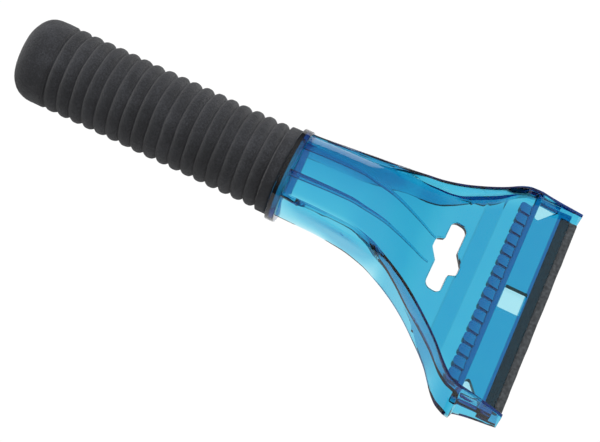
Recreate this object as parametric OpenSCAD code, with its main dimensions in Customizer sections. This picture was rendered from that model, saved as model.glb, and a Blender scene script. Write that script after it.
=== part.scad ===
/* [Foam grip] */
// Diameter of the foam grip over its ribs
grip_d = 36.4; // [34:0.2:37]
// Diameter of the smooth cuff beside the collar
cuff_d = 37.4; // [36.6:0.2:38.4]
// Depth of the rounded grooves between ribs
groove_depth = 1.6; // [0.8:0.1:2]
// Distance from one rib to the next
rib_pitch = 5.68; // [5.2:0.02:6]
// Number of raised ribs on the grip
rib_count = 17; // [12:1:18]
// Length of the smooth rounded butt end
butt_len = 16.3; // [13:0.1:18]
// Radius of the rounding round the butt end
butt_round = 9; // [6:0.5:11]
// Length of the smooth cuff beside the collar
cuff_len = 5.9; // [4:0.1:8]

/* [Handle core] */
// Outer diameter of the tube inside the grip
core_d = 23; // [20:0.5:26]
// Wall thickness of the tube
core_wall = 2.4; // [1.6:0.1:3]
// Clearance between the tube and the foam
core_gap = 0.15; // [0.1:0.05:0.3]

/* [Head] */
// Diameter of the collar that the grip butts against
collar_d = 40.4; // [39:0.2:42]
// Thickness of the collar
collar_t = 4; // [3.2:0.2:5]
// Wall thickness of the collar's ring
collar_wall = 3.4; // [2.6:0.2:4]
// Length of the head from the collar's rear face to the blade edge
head_len = 119.2; // [117:0.1:122]
// Width of the head across the blade edge
blade_w = 108.6; // [106:0.1:112]
// Thickness of the side walls
wall = 1.6; // [1.4:0.1:2]
// Thickness of the neck's skin and the flat plate
plate_t = 2.2; // [1.8:0.1:2.8]

/* [Hang hole] */
// Length of the hanging slot across the head
slot_len = 35; // [30:1:38]
// Width of the hanging slot
slot_w = 7.3; // [5:0.1:9]
// Width over the two side lobes, measured along the handle
lobe_span = 14.2; // [12:0.2:15]

/* [Ice teeth] */
// Number of ice breaking teeth
tooth_count = 16; // [10:1:16]
// Distance from one tooth to the next
tooth_pitch = 5.95; // [5:0.05:6]
// How far the teeth hang below the plate
tooth_drop = 2.3; // [1.6:0.1:4]

/* [Squeegee strip] */
// Length of the rubber strip
strip_len = 100; // [90:1:101]
// Thickness of the rubber strip
strip_t = 3; // [2.4:0.1:3.2]
// Depth of the strip from its rear edge to the blade edge
strip_depth = 7.8; // [7:0.1:8.6]

/* [Hidden] */

eps = 0.01;
fine = 96;
half_w = blade_w / 2;

// The shapes are drawn with the handle axis on X, zero at the collar's rear face and the
// blade at plus X; placed() then puts the origin under the middle of the whole scraper
grip_r = grip_d / 2;
core_r = core_d / 2;
ribs_len = rib_count * rib_pitch;
grip_len = butt_len + ribs_len + cuff_len;
core_end = -grip_len + 9;

// Stations along the side of the head, each
// [distance, rim half width, rim height, shoulder half width, shoulder height,
//  foot half width, foot height]
step_x = 100.5;
foot_z = -18.6;
lowest_z = -19.8;
stations = [
    [3, 16.6, 10.2, 17.6, 8, 17.2, -5.5],
    [19.5, 17, 11, 19.9, 9, 17.3, -5.5],
    [33.5, 17.5, 11, 21.6, 9.8, 18.6, -5.5],
    [43.5, 20, 11.3, 22.7, 8.9, 20.8, -6],
    [51.5, 23, 9.4, 23.6, 7, 23.2, -8],
    [59.5, 26.2, 6.9, 26.9, 4, 26.4, -10.5],
    [67.5, 30.5, 4.4, 31.3, 1.5, 31.2, -12.5],
    [75.5, 35.9, 1.9, 36.8, -1.5, 37.8, -14],
    [83.5, 42.1, -0.6, 43, -4, 44.7, -16.5],
    [91.5, 49.4, -3.3, 50, -6.8, 54.9, -18.3],
    [95, 51.6, -4.7, 52.1, -8.2, 57.8, -18.8],
    [step_x, 52.6, -5.9, 53, -9.6, 59.3, lowest_z],
    [step_x + 0.9, 52.6, -6.1, 53, -9.8, 57, -19.4],
    [head_len, half_w - 0.4, -10.2, half_w, -11.6, half_w + 0.3, foot_z]
];
RIM_Y = 1;
RIM_Z = 2;
SIDE_Y = 3;
SIDE_Z = 4;
FOOT_Y = 5;
FOOT_Z = 6;
// Distances of the cross sections, closer together where the side turns
section_x = [3, 12, 20, 28, 34, 40, 46, 52, 58, 64, 69, 74, 79, 83.5, 87, 90, 92.5, 95, 97.5,
    step_x, step_x + 0.9, 107, 113, head_len];

// Skin of the neck and the flat plate: [distance, height at the edges, height in the middle]
plate_slope = 0.208;
hang_x = 73.8;
hang_z = -5;
function plate_z(x) = hang_z - plate_slope * (x - hang_x);
skin_heights = [
    [3, 9.9, 17.2],
    [19.5, 10.6, 17.6],
    [29, 10.6, 17.3],
    [36, 10.3, 15],
    [44, 8.6, 12.2],
    [52, 5.3, 7.4],
    [59, 1.7, 2.4],
    [66, plate_z(66) + 0.9, plate_z(66) + 0.6],
    [70, plate_z(70), plate_z(70)],
    [76, plate_z(76), plate_z(76)],
    [step_x, plate_z(step_x), plate_z(step_x)]
];

// Lower edge of the web inside each side wall: [distance, height]
web_heights = [
    [66, -5.6],
    [71.5, -8.2],
    [75.5, -11.4],
    [79.5, -15],
    [83.5, -16.6],
    [90, -17.8],
    [head_len, -17.6]
];
web_t = 1.6;

// Front panel, lips and slot for the strip
panel_top = -13;
panel_t = 3;
recess_floor = 0.6;
cross_wall = 2.4;
lip_t = 1.2;
lip_setback = 3.8;
strip_gap = 0.1;
strip_top = panel_top - lip_t;
strip_bottom = strip_top - strip_t;
strip_x = head_len - strip_depth;
slot_back_t = 2;
rim_w = 1.3;
tooth_w = 4.6;
tooth_len = 5.2;
tooth_x = step_x - cross_wall - tooth_len;
tilt = atan(plate_slope);
window_len = 9.8;
window_w = 12;
corner_cut = 8.6;
brace_y = 7.1;

// Smooth curve through the points [x, value] of one column of a table
function slope(t, c, i) = (t[i + 1][c] - t[i][c]) / (t[i + 1][0] - t[i][0]);
function tangent(t, c, k) =
    k == 0 ? slope(t, c, 0)
    : k == len(t) - 1 ? slope(t, c, k - 1)
    : let (a = slope(t, c, k - 1), b = slope(t, c, k)) a * b <= 0 ? 0 : 2 * a * b / (a + b);
function span(t, x, i = 0) = i >= len(t) - 2 || x <= t[i + 1][0] ? i : span(t, x, i + 1);
function curve(t, c, x) =
    let (
        i = span(t, x),
        h = t[i + 1][0] - t[i][0],
        u = (x - t[i][0]) / h,
        m0 = tangent(t, c, i) * h,
        m1 = tangent(t, c, i + 1) * h
    )
    (2 * pow(u, 3) - 3 * u * u + 1) * t[i][c] + (pow(u, 3) - 2 * u * u + u) * m0
    + (3 * u * u - 2 * pow(u, 3)) * t[i + 1][c] + (pow(u, 3) - u * u) * m1;

function bend(a, b, c, u) = (1 - u) * (1 - u) * a + 2 * u * (1 - u) * b + u * u * c;
function mix(a, b, u) = a + (b - a) * u;

function reversed(list) = [for (i = [len(list) - 1:-1:0]) list[i]];

function smooth(low, high, x) =
    let (u = min(max((x - low) / (high - low), 0), 1)) u * u * (3 - 2 * u);

// Share of each kind of section at distance x: a ledge over a thin flange at the neck, a
// flared foot outside a web near the teeth, and one plain wall everywhere else
function neck_share(x) = 1 - smooth(40, 50, x);
function flare_share(x) = smooth(84, 92, x) - smooth(101.5, 106, x);
function blend(x, neck, flare, plain) =
    let (a = neck_share(x), b = flare_share(x)) a * neck + b * flare + (1 - a - b) * plain;

// The outside of the skirt at distance x, from foot to rim
bend_steps = 3;
function outside(x) =
    let (
        rim = [curve(stations, RIM_Y, x), curve(stations, RIM_Z, x)],
        side = [curve(stations, SIDE_Y, x), curve(stations, SIDE_Z, x)],
        foot = [curve(stations, FOOT_Y, x), curve(stations, FOOT_Z, x)],
        low = mix(side, foot, 0.3),
        high = mix(side, rim, 0.6)
    )
    concat([foot], [for (i = [0:bend_steps]) bend(low, side, high, i / bend_steps)], [rim]);
function inside_y(line, z) = lookup(z, [for (p = line) [p[1], p[0]]]) - wall;

// The skirt at distance x as a ring of [half width, height] points: up the outside, down the
// web under the rim, then down the inside of the flange one wall thickness away
function skirt_ring(x) =
    let (
        line = outside(x),
        foot = line[0],
        rim = line[len(line) - 1],
        side = [curve(stations, SIDE_Y, x), curve(stations, SIDE_Z, x)],
        low = mix(side, foot, 0.3),
        skin_z = curve(skin_heights, 1, min(x, step_x)),
        skin_low = skin_z - plate_t + 0.1,
        web_low = x > web_heights[0][0] ? min(skin_low, curve(web_heights, 1, x)) : skin_low,
        web_z = max(web_low, foot[1] + 1),
        room = min(max((rim[0] + 0.1 + wall - side[0]) / max(foot[0] - side[0], 0.1), 0), 1),
        fold_neck = [min(rim[0] + 0.2, side[0] - wall - 0.2), rim[1] - wall],
        fold_flare = [rim[0] + 0.15, mix(side[1], foot[1], room)],
        flange_z = [for (i = [0:bend_steps]) mix(web_z - 0.3, foot[1], 0.8 * i / bend_steps)],
        base_neck = [min(rim[0], fold_neck[0] - 0.1), min(web_z, fold_neck[1] - 0.2)],
        base = blend(x, base_neck, [rim[0] - 0.05, web_z], [inside_y(line, web_z), web_z]),
        in_neck = min(rim[0] - rim_w, base_neck[0] - 0.8),
        deeper = max(0.3, web_t * smooth(66, 74, x)),
        level = max(skin_z - 0.6, web_z + 0.4),
        face = blend(x, in_neck, rim[0] - rim_w, inside_y(line, level)),
        face_low = blend(x, in_neck, rim[0] - rim_w, inside_y(line, level) - deeper),
        base_in = blend(x, in_neck, rim[0] - rim_w, inside_y(line, web_z) - deeper)
    )
    concat(
        line,
        [[rim[0] - rim_w, rim[1]]],
        [[face, level], [face_low, level - 0.2], [base_in, base[1]], base],
        [for (i = [0:bend_steps])
            blend(x, bend(fold_neck, side - [wall, 1], low - [wall, 0], i / bend_steps),
                mix(fold_flare, low - [wall, 0], i / bend_steps),
                [inside_y(line, flange_z[i]), flange_z[i]])],
        [foot - [wall, 0]]
    );

// The skin at distance x as a ring of [half width, height] points: over the top, then back
skin_steps = 4;
function skin_side(x, drop) =
    let (
        edge_z = curve(skin_heights, 1, x) - drop,
        rim_y = curve(stations, RIM_Y, x) - rim_w / 2,
        edge_y = blend(x, rim_y, rim_y, inside_y(outside(x), edge_z) + wall / 2),
        crown = curve(skin_heights, 2, x) - curve(skin_heights, 1, x)
    )
    [for (i = [-skin_steps:skin_steps])
        let (u = i / skin_steps) [edge_y * u, edge_z + crown * (1 - u * u)]];
function skin_ring(x) = concat(reversed(skin_side(x, 0)), skin_side(x, plate_t));

// A solid through a list of rings that all have the same even number of points; the second
// half of a ring runs back beside the first, so that the two ends close as a strip
module loft(rings) {
    n = len(rings[0]);
    last = (len(rings) - 1) * n;
    walls = [for (r = [0:len(rings) - 2]) for (i = [0:n - 1])
        let (j = (i + 1) % n, a = r * n + i, b = r * n + j)
        each [[a, a + n, b], [b, a + n, b + n]]];
    ends = [for (i = [0:n / 2 - 2])
        let (a = i, b = i + 1, c = n - 2 - i, d = n - 1 - i)
        each [[a, b, d], [b, c, d], [last + a, last + d, last + b],
            [last + b, last + d, last + c]]];
    polyhedron(points = [for (r = rings) each r], faces = concat(walls, ends));
}

function at(x, ring) = [for (p = ring) [x, p[0], p[1]]];

module skin() {
    loft([for (x = section_x) if (x <= step_x - 3) at(x, skin_ring(x))]);
}

module skirt() {
    loft([for (x = section_x) at(x, skirt_ring(x))]);
}

// Stiffening rib under the skin of the neck
module brace(side) {
    rings = [for (i = [0:12])
        let (
            u = i / 12,
            x = mix(3, 68, u),
            y = side * mix(brace_y, brace_y - 1.2, u * u),
            edge_y = curve(stations, RIM_Y, x) - rim_w / 2,
            edge_z = curve(skin_heights, 1, x),
            crown = curve(skin_heights, 2, x) - edge_z,
            top = edge_z + crown * (1 - pow(y / edge_y, 2)) - plate_t / 2,
            deep = plate_t / 2 + mix(2.6, 0.8, u),
            half_t = mix(0.8, 0.45, u)
        )
        [[x, y - half_t, top], [x, y + half_t, top], [x, y + half_t, top - deep],
            [x, y - half_t, top - deep]]];
    loft([for (r = rings) reversed(r)]);
}

module along_x(x, length, r) {
    translate([x, 0, 0]) rotate([0, 90, 0]) cylinder(h = length, r = r, $fn = fine);
}

// Collar, a ring closed at the rear by a disc, and the hollow tube that the grip is pushed onto
module collar_and_core() {
    bevel = 0.5;
    disc_t = 1.6;
    collar_r = collar_d / 2;
    hollow_r = collar_r - collar_wall;
    rotate([0, 90, 0]) rotate_extrude($fn = fine)
        polygon([[0, 0], [collar_r - bevel, 0], [collar_r, bevel], [collar_r, collar_t - bevel],
            [collar_r - bevel, collar_t], [hollow_r, collar_t], [hollow_r, disc_t], [0, disc_t]]);
    difference() {
        along_x(core_end, -core_end + eps, core_r);
        along_x(core_end - 1, -core_end - 2, core_r - core_wall);
    }
}

// A flat shape with every corner rounded, inside and out
module rounded(r) {
    offset(r = -r, $fn = 32) offset(r = 2 * r, $fn = 32) offset(r = -r, $fn = 32) children();
}

// Opening for a hook: a slot across the head with a lobe on each side, one nearer each end,
// cut square to the sloping plate
module hang_opening() {
    corner_r = 1.8;
    off_centre = 0.3;
    half_slot = slot_w / 2;
    half_lobe = lobe_span / 2;
    reach = slot_len / 2;
    translate([hang_x, off_centre, hang_z]) rotate([0, tilt, 0]) translate([0, 0, -10])
        linear_extrude(20) rounded(corner_r) {
            square([slot_w, 2 * reach], center = true);
            for (a = [0, 180])
                rotate(a) polygon([[0, -7.4], [half_slot, -7.4], [half_lobe, -5.6],
                    [half_lobe, -0.9], [half_slot, 4.4], [0, 4.4]]);
        }
}

// One tooth under the plate, rounded towards the handle
module tooth() {
    back_r = 1.9;
    root_z = plate_z(tooth_x) - 1;
    tip_z = plate_z(step_x) - plate_t - tooth_drop;
    translate([0, 0, tip_z]) linear_extrude(root_z - tip_z) {
        translate([back_r, -tooth_w / 2]) square([tooth_len - back_r + 0.5, tooth_w]);
        translate([0, -tooth_w / 2 + back_r]) square([tooth_len, tooth_w - 2 * back_r]);
        for (side = [-1, 1])
            translate([back_r, side * (tooth_w / 2 - back_r)]) circle(r = back_r, $fn = 32);
    }
}

// A bar across the head from x0 to x1, as wide at the top and the bottom as the pairs say
module bar(x0, x1, top, bottom) {
    translate([x0, 0, 0]) rotate([90, 0, 90]) linear_extrude(x1 - x0)
        polygon([[top[0], top[1]], [bottom[0], bottom[1]], [-bottom[0], bottom[1]],
            [-top[0], top[1]]]);
}

// Rear end of the flat plate, cross wall, front panel and the lips around the strip
module front() {
    inside = 51.6;
    panel_half = 53.6;
    tab_x = 14;
    tab_len = 12;
    tab_half = 49;
    wall_x = step_x - cross_wall;
    nose_x = strip_x - slot_back_t;
    difference() {
        union() {
            translate([hang_x, 0, hang_z]) rotate([0, tilt, 0])
                translate([tab_x, -tab_half, -plate_t]) cube([tab_len, 2 * tab_half, plate_t]);
            bar(wall_x, step_x, [inside, plate_z(step_x) + 0.2], [56.2, foot_z + 3]);
            bar(wall_x, head_len - lip_setback, [panel_half, panel_top],
                [panel_half, panel_top - panel_t]);
            bar(nose_x, head_len - lip_setback, [panel_half, panel_top - 0.4],
                [panel_half, foot_z + 0.1]);
            bar(nose_x, head_len - 0.6, [panel_half, strip_bottom], [panel_half, foot_z + 0.1]);
        }
        translate([strip_x - strip_gap, -strip_len / 2 - strip_gap, strip_bottom - strip_gap])
            cube([strip_depth + 5, strip_len + 2 * strip_gap, strip_t + 2 * strip_gap]);
        translate([step_x + 0.4, -window_w / 2, panel_top - panel_t + recess_floor])
            cube([window_len, window_w, 10]);
        corner_recess(1);
        corner_recess(-1);
    }
}

// Triangular recess beside the skirt in each rear corner of the front panel
module corner_recess(side) {
    reach = 51.2;
    blunt = [1.8, 0.6];
    scale([1, side, 1]) translate([step_x + 0.3, 0, panel_top - panel_t + recess_floor])
        linear_extrude(5)
            polygon([[0, reach], [0, reach - corner_cut],
                [blunt[0], reach - corner_cut - blunt[1]], [corner_cut, reach]]);
}

// Moves the drawing frame so that the scraper rests on the ground, centred over the origin
module placed() {
    translate([(grip_len - head_len) / 2, 0, max(collar_d / 2, -lowest_z)]) children();
}

module head() {
    placed() color([0.1, 0.55, 0.78, 0.85]) difference() {
        union() {
            collar_and_core();
            skin();
            skirt();
            mirror([0, 1, 0]) skirt();
            brace(1);
            brace(-1);
            front();
            for (i = [0:tooth_count - 1])
                translate([tooth_x, (i - (tooth_count - 1) / 2) * tooth_pitch, 0]) tooth();
        }
        hang_opening();
    }
}

// Foam sleeve with rounded ribs, a domed closed end and a plain cuff
module foam_grip() {
    groove_r = 1.5;
    cuff_r = cuff_d / 2;
    crest = [for (i = [0:rib_count]) -cuff_len - i * rib_pitch];
    outline = concat(
        [[0, -0.1], [cuff_r - 0.8, -0.1], [cuff_r, -0.7], [cuff_r, -cuff_len + groove_r + 0.1]],
        [for (g = crest) each
            [[grip_r, g + groove_r], [grip_r - groove_depth, g + 0.35],
                [grip_r - groove_depth, g - 0.35], [grip_r, g - groove_r]]],
        [for (a = [0:15:90])
            [grip_r - butt_round + butt_round * cos(a),
                -grip_len + butt_round - butt_round * sin(a)]],
        [[0, -grip_len]]
    );
    placed() color([0.2, 0.2, 0.22]) difference() {
        rotate([0, 90, 0]) rotate_extrude($fn = fine) polygon(outline);
        along_x(core_end - core_gap, -core_end + 1, core_r + core_gap);
    }
}

// Rubber strip with a bevelled nose, pressed into the slot between the lips
module squeegee_strip() {
    nose = 0.9;
    back = 0.4;
    placed() color([0.08, 0.08, 0.08])
        translate([strip_x, strip_len / 2, strip_bottom]) rotate([90, 0, 0])
            linear_extrude(strip_len)
                polygon([[back, 0], [strip_depth - nose, 0], [strip_depth, nose],
                    [strip_depth, strip_t - nose / 2], [strip_depth - nose / 2, strip_t],
                    [back, strip_t], [0, strip_t - back], [0, back]]);
}

head();
foam_grip();
squeegee_strip();
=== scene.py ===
"""Windshield ice scraper: the looks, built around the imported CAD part.

Shapes are drawn in millimetres in the drawing frame of the CAD source: X is the handle axis,
zero at the collar's rear face, with the blade at plus X. place() turns that into the row frame.
"""

import math

import bmesh
import bpy
import numpy as np
from mathutils import Euler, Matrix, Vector


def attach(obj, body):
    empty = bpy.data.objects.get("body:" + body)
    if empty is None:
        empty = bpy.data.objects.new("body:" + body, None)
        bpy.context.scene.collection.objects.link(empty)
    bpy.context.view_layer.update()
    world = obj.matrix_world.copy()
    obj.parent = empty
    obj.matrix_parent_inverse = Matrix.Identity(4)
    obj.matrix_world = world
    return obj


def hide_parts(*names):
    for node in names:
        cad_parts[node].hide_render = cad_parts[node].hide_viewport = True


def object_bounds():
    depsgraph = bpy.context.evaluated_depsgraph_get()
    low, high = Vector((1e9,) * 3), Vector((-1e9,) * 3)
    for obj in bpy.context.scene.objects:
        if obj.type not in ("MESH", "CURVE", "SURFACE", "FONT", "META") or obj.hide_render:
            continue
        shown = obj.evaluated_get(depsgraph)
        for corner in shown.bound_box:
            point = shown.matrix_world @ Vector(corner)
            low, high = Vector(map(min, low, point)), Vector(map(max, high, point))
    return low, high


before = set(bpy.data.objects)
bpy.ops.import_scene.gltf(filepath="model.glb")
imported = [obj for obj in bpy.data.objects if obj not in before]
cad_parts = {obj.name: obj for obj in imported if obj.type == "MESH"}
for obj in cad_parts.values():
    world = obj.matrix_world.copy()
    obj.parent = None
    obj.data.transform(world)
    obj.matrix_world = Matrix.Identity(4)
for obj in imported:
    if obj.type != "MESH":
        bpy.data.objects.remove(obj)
cad_low, cad_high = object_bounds()

MM = 0.001

# ---------------------------------------------------------------- sizes, in millimetres

HEAD_LEN = 119.2
HALF_W = 54.3
STEP_X = 100.5
FOOT_Z = -18.6
RIM_W = 1.3
WALL = 1.6
FLARE_EXTRA = 0.9
WEB_STEP = 1.6
SKIN_T = 2.7
PLATE_T = 2.2
SKIN_EDGE_T = 1.6
COLLAR_R = 20.2
COLLAR_T = 4.0
COLLAR_WALL = 3.4
COLLAR_DISC_T = 1.6
CORE_R = 11.5
CORE_WALL = 2.4
CORE_INSET = 9.0
CORE_GAP = 0.15

GRIP_R = 18.0
GRIP_TAPER = 0.4
CUFF_EXTRA = 0.3
GROOVE_DEPTH = 1.9
RIB_PITCH = 5.68
RIB_COUNT = 17
RIB_FLATNESS = 2.6
BUTT_LEN = 16.3
BUTT_ROUND = 9.0
CUFF_LEN = 5.9
GRIP_LEN = BUTT_LEN + RIB_COUNT * RIB_PITCH + CUFF_LEN

PLATE_SLOPE = 0.208
HANG_X = 73.8
HANG_Z = -5.0

PANEL_TOP = -13.0
PANEL_T = 3.0
RECESS_FLOOR = 0.6
LIP_T = 1.2
LIP_SETBACK = 3.8
STRIP_LEN = 100.0
STRIP_T = 3.0
STRIP_DEPTH = 7.8
STRIP_X = HEAD_LEN - STRIP_DEPTH
STRIP_TOP = PANEL_TOP - LIP_T
STRIP_BOTTOM = STRIP_TOP - STRIP_T
STRIP_GAP = 0.1
SLOT_BACK_T = 1.2

TOOTH_COUNT = 16
TOOTH_PITCH = 5.95
TOOTH_W = 4.6
TOOTH_LEN = 5.2
TOOTH_DROP = 2.3
CROSS_WALL = 2.4

# Where the drawing frame's zero is in the row frame: the blade edge is the frame's highest X,
# and the collar, which reaches lowest, touches the ground
ORIGIN = np.array([cad_high.x / MM - HEAD_LEN, 0.0, COLLAR_R])


def plate_z(x):
    """Height of the flat plate's top face."""
    return HANG_Z - PLATE_SLOPE * (x - HANG_X)


# Side of the head, one row per station: distance, rim half width, rim height,
# shoulder half width, shoulder height, foot half width, foot height
STATIONS = np.array([
    [3, 16.6, 10.2, 17.6, 8, 17.2, -5.5],
    [19.5, 17, 11, 19.9, 9, 17.3, -5.5],
    [33.5, 17.5, 11, 21.6, 9.8, 18.6, -5.5],
    [43.5, 20, 11.3, 22.7, 8.9, 20.8, -6],
    [51.5, 23, 9.4, 23.6, 7, 23.2, -8],
    [59.5, 26.2, 6.9, 26.9, 4, 26.4, -10.5],
    [67.5, 30.5, 4.4, 31.3, 1.5, 31.2, -12.5],
    [75.5, 35.9, 1.9, 36.8, -1.5, 37.8, -14],
    [83.5, 42.1, -0.6, 43, -4, 44.7, -16.5],
    [91.5, 49.4, -3.3, 50.0, -6.8, 54.9, -18.3],
    [95, 51.6, -4.7, 52.1, -8.2, 57.8, -18.8],
    [STEP_X, 52.6, -5.9, 53, -9.6, 59.3, -19.8],
    [STEP_X + 0.9, 52.6, -6.1, 53, -9.8, 57.0, -19.4],
    [HEAD_LEN, HALF_W - 0.4, -10.2, HALF_W, -11.6, HALF_W + 0.3, FOOT_Z],
])

# Top skin: distance, height at the edges, height in the middle
SKIN = np.array([
    [3, 9.9, 17.2],
    [19.5, 10.6, 17.6],
    [29, 10.6, 17.3],
    [36, 10.3, 15],
    [44, 8.6, 12.2],
    [52, 5.3, 7.4],
    [59, 1.7, 2.4],
    [66, plate_z(66) + 0.9, plate_z(66) + 0.6],
    [70, plate_z(70), plate_z(70)],
    [76, plate_z(76), plate_z(76)],
    [STEP_X, plate_z(STEP_X), plate_z(STEP_X)],
])

# Lower edge of the web inside each side wall: distance, height
WEB = np.array([
    [66, -5.6],
    [71.5, -8.2],
    [75.5, -11.4],
    [79.5, -15],
    [83.5, -16.6],
    [90, -17.8],
    [HEAD_LEN, -17.6],
])

# ---------------------------------------------------------------- curves and small maths


def smooth_table(table, column, x):
    """Smooth curve through one column of a table, with no overshoot (harmonic mean slopes)."""
    xs, ys = table[:, 0], table[:, column]
    slopes = np.diff(ys) / np.diff(xs)
    tangents = np.empty(len(xs))
    tangents[0], tangents[-1] = slopes[0], slopes[-1]
    for k in range(1, len(xs) - 1):
        a, b = slopes[k - 1], slopes[k]
        tangents[k] = 0.0 if a * b <= 0 else 2 * a * b / (a + b)
    i = int(np.clip(np.searchsorted(xs, x, side="left") - 1, 0, len(xs) - 2))
    h = xs[i + 1] - xs[i]
    u = (x - xs[i]) / h
    return (
        (2 * u**3 - 3 * u**2 + 1) * ys[i]
        + (u**3 - 2 * u**2 + u) * h * tangents[i]
        + (3 * u**2 - 2 * u**3) * ys[i + 1]
        + (u**3 - u**2) * h * tangents[i + 1]
    )


def mix(a, b, u):
    return a + (b - a) * u


def bend(a, b, c, u):
    """Point at u on the curve from a to c that b pulls towards itself."""
    return (1 - u) ** 2 * a + 2 * u * (1 - u) * b + u**2 * c


def smoothstep(low, high, value):
    u = np.clip((value - low) / (high - low), 0, 1)
    return u * u * (3 - 2 * u)


def lattice_noise(points, cell, seed):
    """Smooth random value from -1 to 1 at each point, with features about cell long."""
    rng = np.random.default_rng(seed)
    size = 64
    values = rng.uniform(-1, 1, (size, size, size))
    p = points / cell
    base = np.floor(p).astype(int)
    f = p - base
    f = f * f * (3 - 2 * f)
    total = np.zeros(len(points))
    for dx in (0, 1):
        for dy in (0, 1):
            for dz in (0, 1):
                weight = np.ones(len(points))
                for axis, d in enumerate((dx, dy, dz)):
                    weight = weight * (f[:, axis] if d else 1 - f[:, axis])
                corner = values[
                    (base[:, 0] + dx) % size, (base[:, 1] + dy) % size, (base[:, 2] + dz) % size
                ]
                total += weight * corner
    return total


# ---------------------------------------------------------------- meshes


def place(points):
    """Drawing frame in millimetres to row frame in metres."""
    return (np.asarray(points, float) + ORIGIN) * MM


def mesh_object(name, points, faces):
    mesh = bpy.data.meshes.new(name)
    mesh.from_pydata(place(points).tolist(), [], [list(map(int, f)) for f in faces])
    mesh.validate()
    mesh.update()
    obj = bpy.data.objects.new(name, mesh)
    bpy.context.scene.collection.objects.link(obj)
    return obj


def outward(obj):
    """Turns every face of a closed mesh outwards."""
    bm = bmesh.new()
    bm.from_mesh(obj.data)
    bmesh.ops.recalc_face_normals(bm, faces=bm.faces)
    bm.to_mesh(obj.data)
    bm.free()
    return obj


def triangulate(obj):
    """Splits faces into triangles, which the solid operations keep in order."""
    bm = bmesh.new()
    bm.from_mesh(obj.data)
    bmesh.ops.triangulate(bm, faces=bm.faces)
    bm.to_mesh(obj.data)
    bm.free()
    return obj


def loft(name, rings):
    """Closed solid through rings of equal length, whose second half runs back beside the first."""
    n = len(rings[0])
    last = (len(rings) - 1) * n
    faces = []
    for r in range(len(rings) - 1):
        for i in range(n):
            j = (i + 1) % n
            faces.append([r * n + i, (r + 1) * n + i, (r + 1) * n + j, r * n + j])
    for i in range(n // 2 - 1):
        cap = [i, i + 1, n - 2 - i, n - 1 - i]
        faces.append(cap)
        faces.append([last + c for c in reversed(cap)])
    return outward(mesh_object(name, np.concatenate(rings), faces))


def prism(name, outline, low, high, axes=(0, 1, 2)):
    """Extrudes a 2D outline; axes are the row axes of its first, second and long directions."""
    n = len(outline)
    points = np.zeros((2 * n, 3))
    for k, level in enumerate((low, high)):
        points[k * n:(k + 1) * n, axes[0]] = [p[0] for p in outline]
        points[k * n:(k + 1) * n, axes[1]] = [p[1] for p in outline]
        points[k * n:(k + 1) * n, axes[2]] = level
    faces = [list(range(n)), list(range(2 * n - 1, n - 1, -1))]
    faces += [[i, i + n, (i + 1) % n + n, (i + 1) % n] for i in range(n)]
    return outward(mesh_object(name, points, faces))


def round_edges(obj, radius, segments=2):
    """Rounds every edge of a plain convex block."""
    bm = bmesh.new()
    bm.from_mesh(obj.data)
    edges = [e for e in bm.edges if e.calc_face_angle(0) > math.radians(25)]
    bmesh.ops.bevel(
        bm, geom=edges, offset=radius * MM, offset_type="OFFSET", segments=segments,
        profile=0.5, affect="EDGES", clamp_overlap=True,
    )
    bm.to_mesh(obj.data)
    bm.free()
    return obj


def revolve(name, profile, sides):
    """Solid of revolution about the X axis from a profile of [x, radius] with both ends on the axis."""
    angles = np.arange(sides) * 2 * math.pi / sides
    inner = profile[1:-1]
    points = [[profile[0][0], 0, 0]]
    for x, r in inner:
        points += [[x, r * math.cos(a), r * math.sin(a)] for a in angles]
    points.append([profile[-1][0], 0, 0])
    end = len(points) - 1
    faces = []
    for i in range(sides):
        j = (i + 1) % sides
        faces.append([0, 1 + i, 1 + j])
        for k in range(len(inner) - 1):
            a = 1 + k * sides
            faces.append([a + i, a + sides + i, a + sides + j, a + j])
        a = 1 + (len(inner) - 1) * sides
        faces.append([a + i, end, a + j])
    return outward(mesh_object(name, points, faces))


def combine(target, tools, operation):
    """Adds the tools to the target, or cuts them out of it, and deletes them."""
    triangulate(target)
    for tool in tools:
        triangulate(tool)
        step = target.modifiers.new("step", "BOOLEAN")
        step.object = tool
        step.operation = operation
        step.solver = "MANIFOLD"
        solid = bpy.data.meshes.new_from_object(
            target.evaluated_get(bpy.context.evaluated_depsgraph_get())
        )
        target.modifiers.clear()
        target.data = solid
        bpy.data.objects.remove(tool)
    return target


# ---------------------------------------------------------------- the head


def web_bottom(x):
    """Height of the lower edge of the inner web, which deepens towards the blade."""
    skin_low = smooth_table(SKIN, 1, min(x, STEP_X)) - SKIN_EDGE_T - 0.1
    return min(skin_low, smooth_table(WEB, 1, x)) if x > WEB[0][0] else skin_low


def tray(x):
    """0 at the neck, where a web stands inside the flange, and 1 where the side is one plain wall."""
    return float(smoothstep(45, 56, x))


def wall_at(x):
    """Thickness of the side sheet, which is thicker where it flares out to the feet."""
    return WALL + FLARE_EXTRA * float(smoothstep(84, 94, x) - smoothstep(97, STEP_X + 0.5, x))


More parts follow.
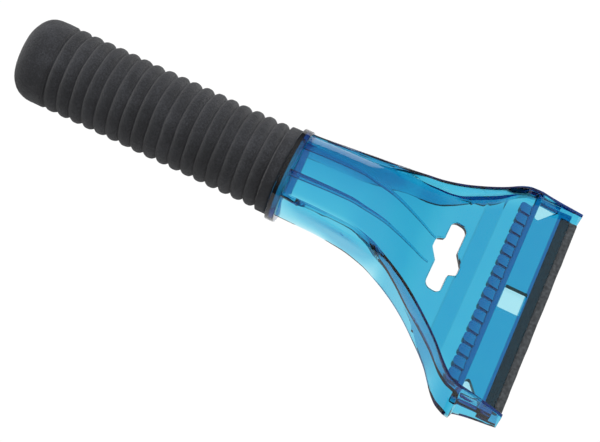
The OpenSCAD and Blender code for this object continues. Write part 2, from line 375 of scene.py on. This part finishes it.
def side_sheet(x):
    """Outer and inner lines of the side's thin sheet, from the rim down to the foot."""
    rim = np.array([smooth_table(STATIONS, 1, x), smooth_table(STATIONS, 2, x)])
    side = np.array([smooth_table(STATIONS, 3, x), smooth_table(STATIONS, 4, x)])
    foot = np.array([smooth_table(STATIONS, 5, x), smooth_table(STATIONS, 6, x)])
    low = mix(side, foot, 0.3)
    high = mix(side, rim, 0.6)
    outer = [rim, mix(rim, high, 0.5)]
    outer += [bend(high, side, low, u) for u in np.linspace(0, 1, 9)]
    outer += [mix(low, foot, u) for u in np.linspace(0, 1, 9)[1:]]
    outer = np.array(outer)
    along = np.gradient(outer, axis=0)
    normal = np.stack([-along[:, 1], along[:, 0]], 1)
    normal /= np.linalg.norm(normal, axis=1)[:, None]
    normal[normal @ np.array([1, 1]) < 0] *= -1
    inner = outer - normal * wall_at(x)
    inner[:, 1] = np.maximum(inner[:, 1], foot[1])
    return outer, inner


def inner_y(inner, z):
    """Half width of the inner line at a height."""
    return float(np.interp(-z, -inner[:, 1], inner[:, 0]))


def skirt_ring(x):
    """Section of the side: the outer line, then the web under the rim, then the inner line.

    At the neck the flange hangs outside a short web that carries the skin. Where the side is
    plain, web and flange are one sheet, thickened by a step below the plate in its middle part.
    """
    outer, inner = side_sheet(x)
    rim = outer[0]
    plain = tray(x)
    step = WEB_STEP * float(smoothstep(66, 74, x) - smoothstep(84, 92, x))
    overlap, corner, below_skin = 0.05, 0.12, 0.6
    roomy = inner[inner[:, 0] >= rim[0] - overlap]
    fold_z = min(inner[1][1], rim[1] - wall_at(x), roomy[0][1] if len(roomy) else rim[1])
    base_z = min(web_bottom(x), fold_z - 0.3)
    ceiling = mix(fold_z, base_z, plain)
    face = mix(rim[0] - overlap, inner_y(inner, ceiling), plain)
    top_in = rim[0] - RIM_W
    level = smooth_table(SKIN, 1, min(x, STEP_X)) - below_skin
    ring = list(outer[:0:-1])
    ring += [rim + np.array([0.0, -corner]), rim + np.array([-corner, 0.0])]
    ring += [np.array([top_in + corner, rim[1]]), np.array([top_in, rim[1] - corner])]
    for u, depth in ((0.33, 0), (0.67, 0), (1, 0), (1, step), (1.5, step), (2, step)):
        z = mix(rim[1] - corner, level, min(u, 1)) if u <= 1 else mix(level, base_z, u - 1)
        z = max(z, base_z)
        ring.append(np.array([mix(top_in, inner_y(inner, z), plain) - depth, z]))
    spare = len(ring) - (len(inner) - 1)
    back = [np.array([face, mix(base_z, ceiling, u)]) for u in np.linspace(0, 1, spare)]
    for y, z in inner[1:]:
        if z > ceiling:
            back.append(np.array([face, ceiling]))
        else:
            back.append(np.array([max(y, face) if plain < 1 else y, z]))
    return [[x, p[0], p[1]] for p in ring + back]


def skin_edge(x):
    """Half width and height of the plate's edge, inside the side wall."""
    _, inner = side_sheet(x)
    z = smooth_table(SKIN, 1, x)
    y = mix(smooth_table(STATIONS, 1, x) - RIM_W / 2, inner_y(inner, z) + wall_at(x) / 2, tray(x))
    return y, z


def sections(*lists):
    return np.unique(np.round(np.concatenate(lists), 3))


def skirt(side):
    places = sections(
        np.arange(3, STEP_X, 1.0), [STEP_X, STEP_X + 0.9], np.arange(103, HEAD_LEN, 2.0), [HEAD_LEN])
    rings = [skirt_ring(x) for x in places]
    rings = [[[p[0], side * p[1], p[2]] for p in ring] for ring in rings]
    return loft("skirt", rings)


def plate_thickness(x):
    """The skin thins from the neck to the flat plate, which has a thicker band behind its hole."""
    band_extra = 0.5
    band = smoothstep(79.2, 80.6, x) - smoothstep(86.4, 87.4, x)
    return mix(SKIN_T, PLATE_T, smoothstep(55, 68, x)) + band_extra * band


def skin():
    """The neck's arched skin and the flat plate, one sheet that thins towards the side walls."""
    edge = 16
    rings = []
    band_edges = np.append(np.arange(79.25, 81, 0.25), np.arange(86.25, 88, 0.25))
    for x in sections(np.arange(3, 99, 1.0), band_edges, [STEP_X - 0.8]):
        edge_y, edge_z = skin_edge(x)
        crown = smooth_table(SKIN, 2, x) - edge_z
        us = np.linspace(-1, 1, 2 * edge + 1)
        top = [[x, edge_y * u, edge_z + crown * (1 - u * u)] for u in us]
        thick = [mix(plate_thickness(x), SKIN_EDGE_T, smoothstep(0.8, 1.0, abs(u))) for u in us]
        under = [[p[0], p[1], p[2] - t] for p, t in zip(top, thick)]
        rings.append(top + under[::-1])
    return loft("skin", rings)


def brace(side):
    """Stiffening rib under the skin, from the collar to the hanging hole, lower and thinner there."""
    root = 1.0
    rings = []
    for u in np.linspace(0, 1, 40):
        x = mix(3, 67.5, u)
        y = side * mix(7.1, 6.1, u * u)
        edge_y, edge_z = skin_edge(x)
        crown = smooth_table(SKIN, 2, x) - edge_z
        top = edge_z + crown * (1 - (y / edge_y) ** 2) - root
        deep = plate_thickness(x) - root + mix(2.4, 0.6, u)
        half = mix(0.8, 0.4, u)
        rings.append([[x, y - half, top], [x, y + half, top], [x, y + half * 0.8, top - deep],
                      [x, y - half * 0.8, top - deep]])
    return loft("brace", rings)


def collar():
    """Open ring round the rear of the head, closed at the rear by a thin disc."""
    r, t, b = COLLAR_R, COLLAR_T, 0.5
    hollow = r - COLLAR_WALL
    cut = 0.15
    profile = [[0, 0], [0, r - b], [cut, r - cut], [b, r], [t - b, r], [t - cut, r - cut],
               [t, r - b], [t, hollow], [COLLAR_DISC_T, hollow - 0.3], [COLLAR_DISC_T, 0]]
    return revolve("collar", profile, 160)


def core():
    """The tube inside the grip, with an open end."""
    end = -GRIP_LEN + CORE_INSET
    r, hole = CORE_R, CORE_R - CORE_WALL
    profile = [[-1, 0], [-1, hole], [end, hole], [end, r], [1, r], [1, 0]]
    return revolve("core", profile, 96)


def cross_bar(name, x0, x1, top, bottom, radius):
    """A bar across the head; top and bottom are [half width, height]."""
    outline = [[-top[0], top[1]], [top[0], top[1]], [bottom[0], bottom[1]], [-bottom[0], bottom[1]]]
    return round_edges(prism(name, outline, x0, x1, axes=(1, 2, 0)), radius)


def front_pieces():
    """Cross wall, front panel, and the nose and lip around the strip."""
    wall_x = STEP_X - CROSS_WALL
    nose_x = STRIP_X - SLOT_BACK_T
    edge_x = HEAD_LEN - LIP_SETBACK
    panel_low = PANEL_TOP - PANEL_T
    half = 53.6
    foot = [half, FOOT_Z + 0.1]
    return [
        cross_bar("wall", wall_x, STEP_X, [51.6, plate_z(STEP_X) + 0.2], [56.2, FOOT_Z + 3], 0.3),
        cross_bar("panel", wall_x + 0.2, edge_x, [half, PANEL_TOP], [half, panel_low], 0.25),
        cross_bar("panel_ends", wall_x + 0.3, STEP_X + 4, [54.0, PANEL_TOP - 0.3],
                  [54.4, panel_low + 0.3], 0.2),
        cross_bar("nose", nose_x, edge_x - 0.1, [half, PANEL_TOP - 0.4], foot, 0.2),
        cross_bar("lip", nose_x + 0.2, HEAD_LEN - 0.6, [half, STRIP_BOTTOM], foot, 0.2),
    ]


def tilted(points):
    """Turns shapes drawn flat round the hanging hole into the plate's slope."""
    angle = math.atan(PLATE_SLOPE)
    c, s = math.cos(angle), math.sin(angle)
    out = []
    for x, y, z in points:
        out.append([HANG_X + c * x + s * z, y, HANG_Z - s * x + c * z])
    return out


def rounded_outline(corners, steps=6):
    """Outline through corners [x, y, radius], each rounded by its radius."""
    points = []
    n = len(corners)
    for i in range(n):
        before = np.array(corners[i - 1][:2], float)
        here = np.array(corners[i][:2], float)
        after = np.array(corners[(i + 1) % n][:2], float)
        radius = corners[i][2]
        a = (before - here) / np.linalg.norm(before - here)
        b = (after - here) / np.linalg.norm(after - here)
        half_angle = math.acos(np.clip(a @ b, -1, 1)) / 2
        reach = radius / math.tan(half_angle)
        start, end = here + a * reach, here + b * reach
        centre = here + (a + b) / np.linalg.norm(a + b) * radius / math.sin(half_angle)
        p, q = start - centre, end - centre
        turn = math.atan2(p[0] * q[1] - p[1] * q[0], p @ q)
        for k in range(steps + 1):
            angle = turn * k / steps
            c, s = math.cos(angle), math.sin(angle)
            points.append(centre + np.array([c * p[0] - s * p[1], s * p[0] + c * p[1]]))
    return points


def hang_outline(grow):
    """The hanging hole: a long slot with a rounded lobe on each side, one nearer each end."""
    slot, reach, lobe = 3.65 + grow, 17.5 + grow, 7.1 + grow
    half = [
        [slot, -7.4 - grow, 1.2], [lobe, -5.6 - grow, 2.1], [lobe, -0.9 + grow, 2.1],
        [slot, 4.4 + grow, 1.6], [slot, reach, 2.9], [-slot, reach, 2.9],
    ]
    return rounded_outline(half + [[-x, -y, r] for x, y, r in half])


def hang_opening():
    """Cutter for the hanging hole, square to the sloping plate, with softened edges top and bottom."""
    soft, thick, off_centre = 0.35, PLATE_T, 0.3
    levels = [(6, soft), (0.02, soft), (-soft, 0), (soft - thick, 0), (-thick - 0.02, soft), (-8, soft)]
    points = []
    for z, grow in levels:
        points += [[p[0], p[1] + off_centre, z] for p in hang_outline(grow)]
    n = len(points) // len(levels)
    faces = [list(range(n)), list(range(len(points) - 1, len(points) - n - 1, -1))]
    for k in range(len(levels) - 1):
        for i in range(n):
            j = (i + 1) % n
            faces.append([k * n + i, (k + 1) * n + i, (k + 1) * n + j, k * n + j])
    return outward(mesh_object("hang_opening", tilted(points), faces))


def tooth(y):
    """Block under the plate against the cross wall, rounded towards the handle."""
    back = 1.9
    x0 = STEP_X - CROSS_WALL - TOOTH_LEN
    x1 = STEP_X - CROSS_WALL + 0.5
    w = TOOTH_W / 2
    corners = [[x0, y - w, back], [x0, y + w, back], [x1, y + w, 0.05], [x1, y - w, 0.05]]
    inside_plate = 1.0
    tip = plate_z(x1) - PLATE_T - TOOTH_DROP
    return prism("tooth", rounded_outline(corners, 5), tip, plate_z(x0) - inside_plate)


def teeth():
    middle = (TOOTH_COUNT - 1) / 2
    return [tooth((i - middle) * TOOTH_PITCH) for i in range(TOOTH_COUNT)]


def recesses():
    """Window and corner recesses of the front panel, each with a thin floor, and the strip's slot."""
    floor_z = PANEL_TOP - PANEL_T + RECESS_FLOOR
    x0, x1, half = STEP_X + 0.4, STEP_X + 10.2, 6
    window = rounded_outline(
        [[x0, -half, 0.5], [x1, -half, 0.5], [x1, half, 0.5], [x0, half, 0.5]], 4)
    cuts = [prism("window", window, floor_z, PANEL_TOP + 5)]
    for side in (-1, 1):
        corner = rounded_outline([
            [STEP_X + 0.3, side * 52.2, 0.2], [STEP_X + 0.3, side * 43.6, 0.8],
            [STEP_X + 1.8, side * 42.6, 1.0], [STEP_X + 9.3, side * 52.2, 0.3]], 4)
        cuts.append(prism("corner", corner, floor_z, PANEL_TOP + 3.4))
    reach = STRIP_LEN / 2 + STRIP_GAP
    back, front = STRIP_X - STRIP_GAP, HEAD_LEN + 3
    slot = [[back, -reach], [front, -reach], [front, reach], [back, reach]]
    cuts.append(prism("slot", slot, STRIP_BOTTOM - STRIP_GAP, STRIP_TOP + STRIP_GAP))
    return cuts


def build_head():
    head = skin()
    combine(head, [skirt(1), skirt(-1), brace(1), brace(-1), collar(), core()], "UNION")
    combine(head, front_pieces() + teeth(), "UNION")
    combine(head, [hang_opening()] + recesses(), "DIFFERENCE")
    head.name = "head_moulding"
    head.data.name = "head_moulding"
    head.data.shade_smooth()
    head.data.set_sharp_from_angle(angle=math.radians(35))
    even = head.modifiers.new("even_normals", "WEIGHTED_NORMAL")
    even.weight = 100
    even.keep_sharp = True
    return head


# ---------------------------------------------------------------- the grip and the strip


def rib_radius(x):
    """Radius of the foam at distance x, without its pores."""
    size = GRIP_R + mix(0.0, GRIP_TAPER, (x + GRIP_LEN) / GRIP_LEN)
    end = x + GRIP_LEN
    if end < BUTT_ROUND:
        return size - BUTT_ROUND + math.sqrt(max(BUTT_ROUND**2 - (BUTT_ROUND - end) ** 2, 0))
    first = -GRIP_LEN + BUTT_LEN
    if x < first:
        edge = smoothstep(0, 1.6, first - x)
        return size - GROOVE_DEPTH * (1 - edge) ** 2
    if x > -CUFF_LEN:
        edge = smoothstep(0, 1.2, x + CUFF_LEN)
        front = smoothstep(0, 0.9, -x)
        return size + CUFF_EXTRA - GROOVE_DEPTH * (1 - edge) ** 2 - 0.7 * (1 - front) ** 2
    s = abs(2 * (((x - first) / RIB_PITCH) % 1) - 1)
    return size - GROOVE_DEPTH * s**RIB_FLATNESS


def build_grip():
    """The sleeve with its bore, roughened by slow waves and fine pores on the outside only."""
    sides = 280
    start = -GRIP_LEN
    flat = GRIP_R - BUTT_ROUND
    dome = 0.12
    xs = start + BUTT_ROUND * (1 - np.cos(np.linspace(0, math.pi / 2, 26)))
    xs = list(xs) + list(np.arange(start + BUTT_ROUND + 0.3, 0, 0.36)) + [-0.15]
    rows = [[start - dome * (1 - (r / flat) ** 2), r] for r in np.linspace(0.05, flat - 0.4, 16)]
    rows = np.array(rows + [[x, rib_radius(x)] for x in xs])
    bore = CORE_R + CORE_GAP
    bore_end = start + CORE_INSET - CORE_GAP
    inner_rows = [[-0.1, bore + 1.0], [-0.1, bore], [bore_end, bore], [bore_end, 0.05]]
    rows = np.vstack([rows, inner_rows])
    angles = np.arange(sides) * 2 * math.pi / sides
    x = np.repeat(rows[:, 0], sides)
    r = np.repeat(rows[:, 1], sides)
    a = np.tile(angles, len(rows))
    points = np.stack([x, r * np.cos(a), r * np.sin(a)], 1)
    outer = np.repeat(np.arange(len(rows)) < len(rows) - len(inner_rows), sides)
    wave = 0.10 * lattice_noise(points, 9.0, 1) + 0.07 * lattice_noise(points, 2.7, 2)
    pores = 0.05 * lattice_noise(points, 1.1, 3) + 0.045 * lattice_noise(points, 0.55, 4)
    sway = outer & (r > 12) & (points[:, 0] < -1)
    points[:, 0] += np.where(sway, 0.22 * lattice_noise(points, 7.0, 5), 0)
    grow = np.where(outer, (wave + pores) * np.clip(r / 6, 0, 1), 0)
    points[:, 1] += grow * np.cos(a)
    points[:, 2] += grow * np.sin(a)
    count = len(rows)
    faces = []
    for k in range(count - 1):
        base = k * sides
        for i in range(sides):
            j = (i + 1) % sides
            faces.append([base + i, base + sides + i, base + sides + j, base + j])
    faces.append(list(range(sides)))
    faces.append(list(range((count - 1) * sides, count * sides))[::-1])
    grip = outward(mesh_object("foam_sleeve", points, faces))
    grip.data.shade_smooth()
    return grip


def build_strip():
    """The rubber strip, with a slightly worn front edge."""
    nose, heel = 0.7, 0.3
    worn_depth = 1.2
    x0, x1 = STRIP_X + 0.05, HEAD_LEN
    z0, z1 = STRIP_BOTTOM, STRIP_TOP
    outline = rounded_outline([[x0, z0, heel], [x1, z0, nose], [x1, z1, nose], [x0, z1, heel]], 5)
    cuts = np.linspace(-STRIP_LEN / 2, STRIP_LEN / 2, 120)
    n = len(outline)
    points = []
    for y in cuts:
        for px, pz in outline:
            points.append([px, y, pz])
    points = np.array(points)
    front = points[:, 0] > x1 - worn_depth
    points[:, 0] -= np.where(front, 0.10 + 0.10 * lattice_noise(points, 3.5, 11), 0)
    faces = [[k * n + i, (k + 1) * n + i, (k + 1) * n + (i + 1) % n, k * n + (i + 1) % n]
             for k in range(len(cuts) - 1) for i in range(n)]
    faces.append(list(range(n)))
    faces.append(list(range((len(cuts) - 1) * n, len(cuts) * n))[::-1])
    strip = outward(mesh_object("rubber_strip", points, faces))
    strip.data.shade_smooth()
    strip.data.set_sharp_from_angle(angle=math.radians(40))
    return strip


# ---------------------------------------------------------------- materials


def new_material(name):
    """A material with its node tree emptied down to one Principled shader."""
    material = bpy.data.materials.new(name)
    material.use_nodes = True
    tree = material.node_tree
    tree.nodes.clear()
    output = tree.nodes.new("ShaderNodeOutputMaterial")
    shader = tree.nodes.new("ShaderNodeBsdfPrincipled")
    tree.links.new(shader.outputs["BSDF"], output.inputs["Surface"])
    return material, tree, shader, output


def noise_node(tree, scale, detail=3.0, roughness=0.5):
    coords = tree.nodes.new("ShaderNodeTexCoord")
    noise = tree.nodes.new("ShaderNodeTexNoise")
    noise.inputs["Scale"].default_value = scale
    noise.inputs["Detail"].default_value = detail
    noise.inputs["Roughness"].default_value = roughness
    tree.links.new(coords.outputs["Object"], noise.inputs["Vector"])
    return noise


def ramp_node(tree, source, stops):
    """Colour ramp over a 0 to 1 value; stops are (place, linear colour)."""
    ramp = tree.nodes.new("ShaderNodeValToRGB")
    while len(ramp.color_ramp.elements) < len(stops):
        ramp.color_ramp.elements.new(0.5)
    for element, (at, colour) in zip(ramp.color_ramp.elements, stops):
        element.position = at
        element.color = (*colour, 1.0)
    tree.links.new(source, ramp.inputs["Fac"])
    return ramp


def bump_node(tree, height, strength, distance, below=None):
    bump = tree.nodes.new("ShaderNodeBump")
    bump.inputs["Strength"].default_value = strength
    bump.inputs["Distance"].default_value = distance
    tree.links.new(height, bump.inputs["Height"])
    if below is not None:
        tree.links.new(below.outputs["Normal"], bump.inputs["Normal"])
    return bump


def clear_blue_plastic():
    """Tinted clear plastic: what it absorbs grows with depth, so edges look darker than faces."""
    material, tree, shader, output = new_material("clear_blue_plastic")
    shader.inputs["Transmission Weight"].default_value = 1.0
    shader.inputs["IOR"].default_value = 1.5
    shader.inputs["Specular IOR Level"].default_value = 0.25
    mottle = noise_node(tree, 120.0, 2.0)
    tint = ramp_node(tree, mottle.outputs["Fac"], [(0.3, (0.93, 0.965, 1.0)), (0.7, (1.0, 1.0, 1.0))])
    tree.links.new(tint.outputs["Color"], shader.inputs["Base Color"])
    gloss = ramp_node(tree, mottle.outputs["Fac"], [(0.3, (0.015,) * 3), (0.7, (0.04,) * 3)])
    tree.links.new(gloss.outputs["Color"], shader.inputs["Roughness"])
    flow = noise_node(tree, 45.0, 2.0)
    ripple = bump_node(tree, flow.outputs["Fac"], 0.04, 0.001)
    tree.links.new(ripple.outputs["Normal"], shader.inputs["Normal"])
    depth = tree.nodes.new("ShaderNodeVolumeAbsorption")
    depth.inputs["Color"].default_value = (0.0, 0.755, 0.879, 1.0)
    depth.inputs["Density"].default_value = 1400.0
    tree.links.new(depth.outputs["Volume"], output.inputs["Volume"])
    return material


def charcoal_foam():
    material, tree, shader, _ = new_material("charcoal_foam")
    grain = noise_node(tree, 1500.0, 4.0, 0.7)
    patch = noise_node(tree, 90.0, 2.0)
    blend = tree.nodes.new("ShaderNodeMix")
    blend.data_type = "FLOAT"
    blend.inputs["Factor"].default_value = 0.3
    tree.links.new(grain.outputs["Fac"], blend.inputs["A"])
    tree.links.new(patch.outputs["Fac"], blend.inputs["B"])
    tone = ramp_node(tree, blend.outputs["Result"], [
        (0.34, (0.006, 0.006, 0.007)), (0.5, (0.015, 0.0155, 0.018)), (0.66, (0.034, 0.035, 0.040))])
    tree.links.new(tone.outputs["Color"], shader.inputs["Base Color"])
    shader.inputs["Roughness"].default_value = 0.95
    shader.inputs["Specular IOR Level"].default_value = 0.25
    shader.inputs["Sheen Weight"].default_value = 0.15
    shader.inputs["Sheen Roughness"].default_value = 0.6
    pores = bump_node(tree, grain.outputs["Fac"], 0.8, 0.0004)
    tree.links.new(pores.outputs["Normal"], shader.inputs["Normal"])
    return material


def black_rubber():
    material, tree, shader, _ = new_material("black_rubber")
    grain = noise_node(tree, 700.0, 3.0, 0.6)
    tone = ramp_node(tree, grain.outputs["Fac"], [
        (0.35, (0.018, 0.020, 0.022)), (0.7, (0.055, 0.060, 0.064))])
    tree.links.new(tone.outputs["Color"], shader.inputs["Base Color"])
    shader.inputs["Roughness"].default_value = 0.6
    rough = bump_node(tree, grain.outputs["Fac"], 0.4, 0.0003)
    tree.links.new(rough.outputs["Normal"], shader.inputs["Normal"])
    return material


def floor_material():
    """A pale light table: it glows evenly for the camera and the plastic, and less on matt faces."""
    material = bpy.data.materials.new("light_table")
    material.use_nodes = True
    tree = material.node_tree
    tree.nodes.clear()
    output = tree.nodes.new("ShaderNodeOutputMaterial")
    glow = tree.nodes.new("ShaderNodeEmission")
    dim_glow = tree.nodes.new("ShaderNodeEmission")
    path = tree.nodes.new("ShaderNodeLightPath")
    switch = tree.nodes.new("ShaderNodeMixShader")
    glow.inputs["Color"].default_value = (1.0, 1.0, 1.0, 1.0)
    glow.inputs["Strength"].default_value = 1.02
    dim_glow.inputs["Strength"].default_value = 0.45
    tree.links.new(path.outputs["Is Diffuse Ray"], switch.inputs["Fac"])
    tree.links.new(glow.outputs["Emission"], switch.inputs[1])
    tree.links.new(dim_glow.outputs["Emission"], switch.inputs[2])
    tree.links.new(switch.outputs["Shader"], output.inputs["Surface"])
    return material


# ---------------------------------------------------------------- stage, light and camera


def add_floor():
    size = 6.0
    mesh = bpy.data.meshes.new("floor")
    corners = [(-size, -size, 0), (size, -size, 0), (size, size, 0), (-size, size, 0)]
    mesh.from_pydata(corners, [], [(0, 1, 2, 3)])
    floor = bpy.data.objects.new("floor", mesh)
    floor.location.z = cad_low.z - 0.0005
    bpy.context.scene.collection.objects.link(floor)
    mesh.materials.append(floor_material())


def add_area_light(name, place_at, aim, size, power):
    light = bpy.data.lights.new(name, "AREA")
    light.shape = "DISK"
    light.size = size
    light.energy = power
    lamp = bpy.data.objects.new(name, light)
    lamp.location = place_at
    lamp.rotation_euler = (Vector(aim) - Vector(place_at)).to_track_quat("-Z", "Y").to_euler()
    bpy.context.scene.collection.objects.link(lamp)
    lamp.visible_glossy = False
    lamp.visible_transmission = False


def add_world():
    """A soft tent: bright overhead, dim towards the horizon, so clear edges read dark."""
    world = bpy.data.worlds.new("studio")
    world.use_nodes = True
    tree = world.node_tree
    background = tree.nodes["Background"]
    coords = tree.nodes.new("ShaderNodeTexCoord")
    split = tree.nodes.new("ShaderNodeSeparateXYZ")
    tree.links.new(coords.outputs["Generated"], split.inputs["Vector"])
    sky = ramp_node(tree, split.outputs["Z"], [
        (0.0, (0.16, 0.165, 0.18)), (0.3, (0.3, 0.31, 0.33)),
        (0.7, (0.85, 0.86, 0.88)), (1.0, (0.98, 0.99, 1.0))])
    tree.links.new(sky.outputs["Color"], background.inputs["Color"])
    background.inputs["Strength"].default_value = 0.75
    bpy.context.scene.world = world


def add_camera():
    camera = bpy.data.objects.new("camera", bpy.data.cameras.new("camera"))
    camera.data.lens = 90.4
    camera.data.sensor_width = 36.0
    camera.data.clip_start, camera.data.clip_end = 0.01, 20.0
    camera.location = Vector(place([66.2, -353.7, 500.2]))
    camera.rotation_euler = Euler([math.radians(v) for v in (32.84, -10.007, 23.811)], "XYZ")
    bpy.context.scene.collection.objects.link(camera)
    bpy.context.scene.camera = camera


def dress(piece, node, material):
    """Puts a finished piece in the place of its CAD node."""
    piece.data.materials.clear()
    piece.data.materials.append(material)
    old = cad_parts[node]
    old.data.materials.clear()
    old.data.materials.append(material)
    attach(piece, "root")
    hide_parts(node)


dress(build_head(), "head", clear_blue_plastic())
dress(build_grip(), "foam_grip", charcoal_foam())
dress(build_strip(), "squeegee_strip", black_rubber())

add_floor()
add_world()
add_area_light("key", (-0.25, 0.35, 0.9), (0, 0, 0.02), 0.7, 12.0)
add_area_light("fill", (0.6, -0.7, 0.7), (0, 0, 0.02), 0.9, 4.0)
add_camera()

scene = bpy.context.scene
scene.view_settings.view_transform = "Standard"
scene.cycles.max_bounces = 24
scene.cycles.transmission_bounces = 20
scene.cycles.transparent_max_bounces = 16
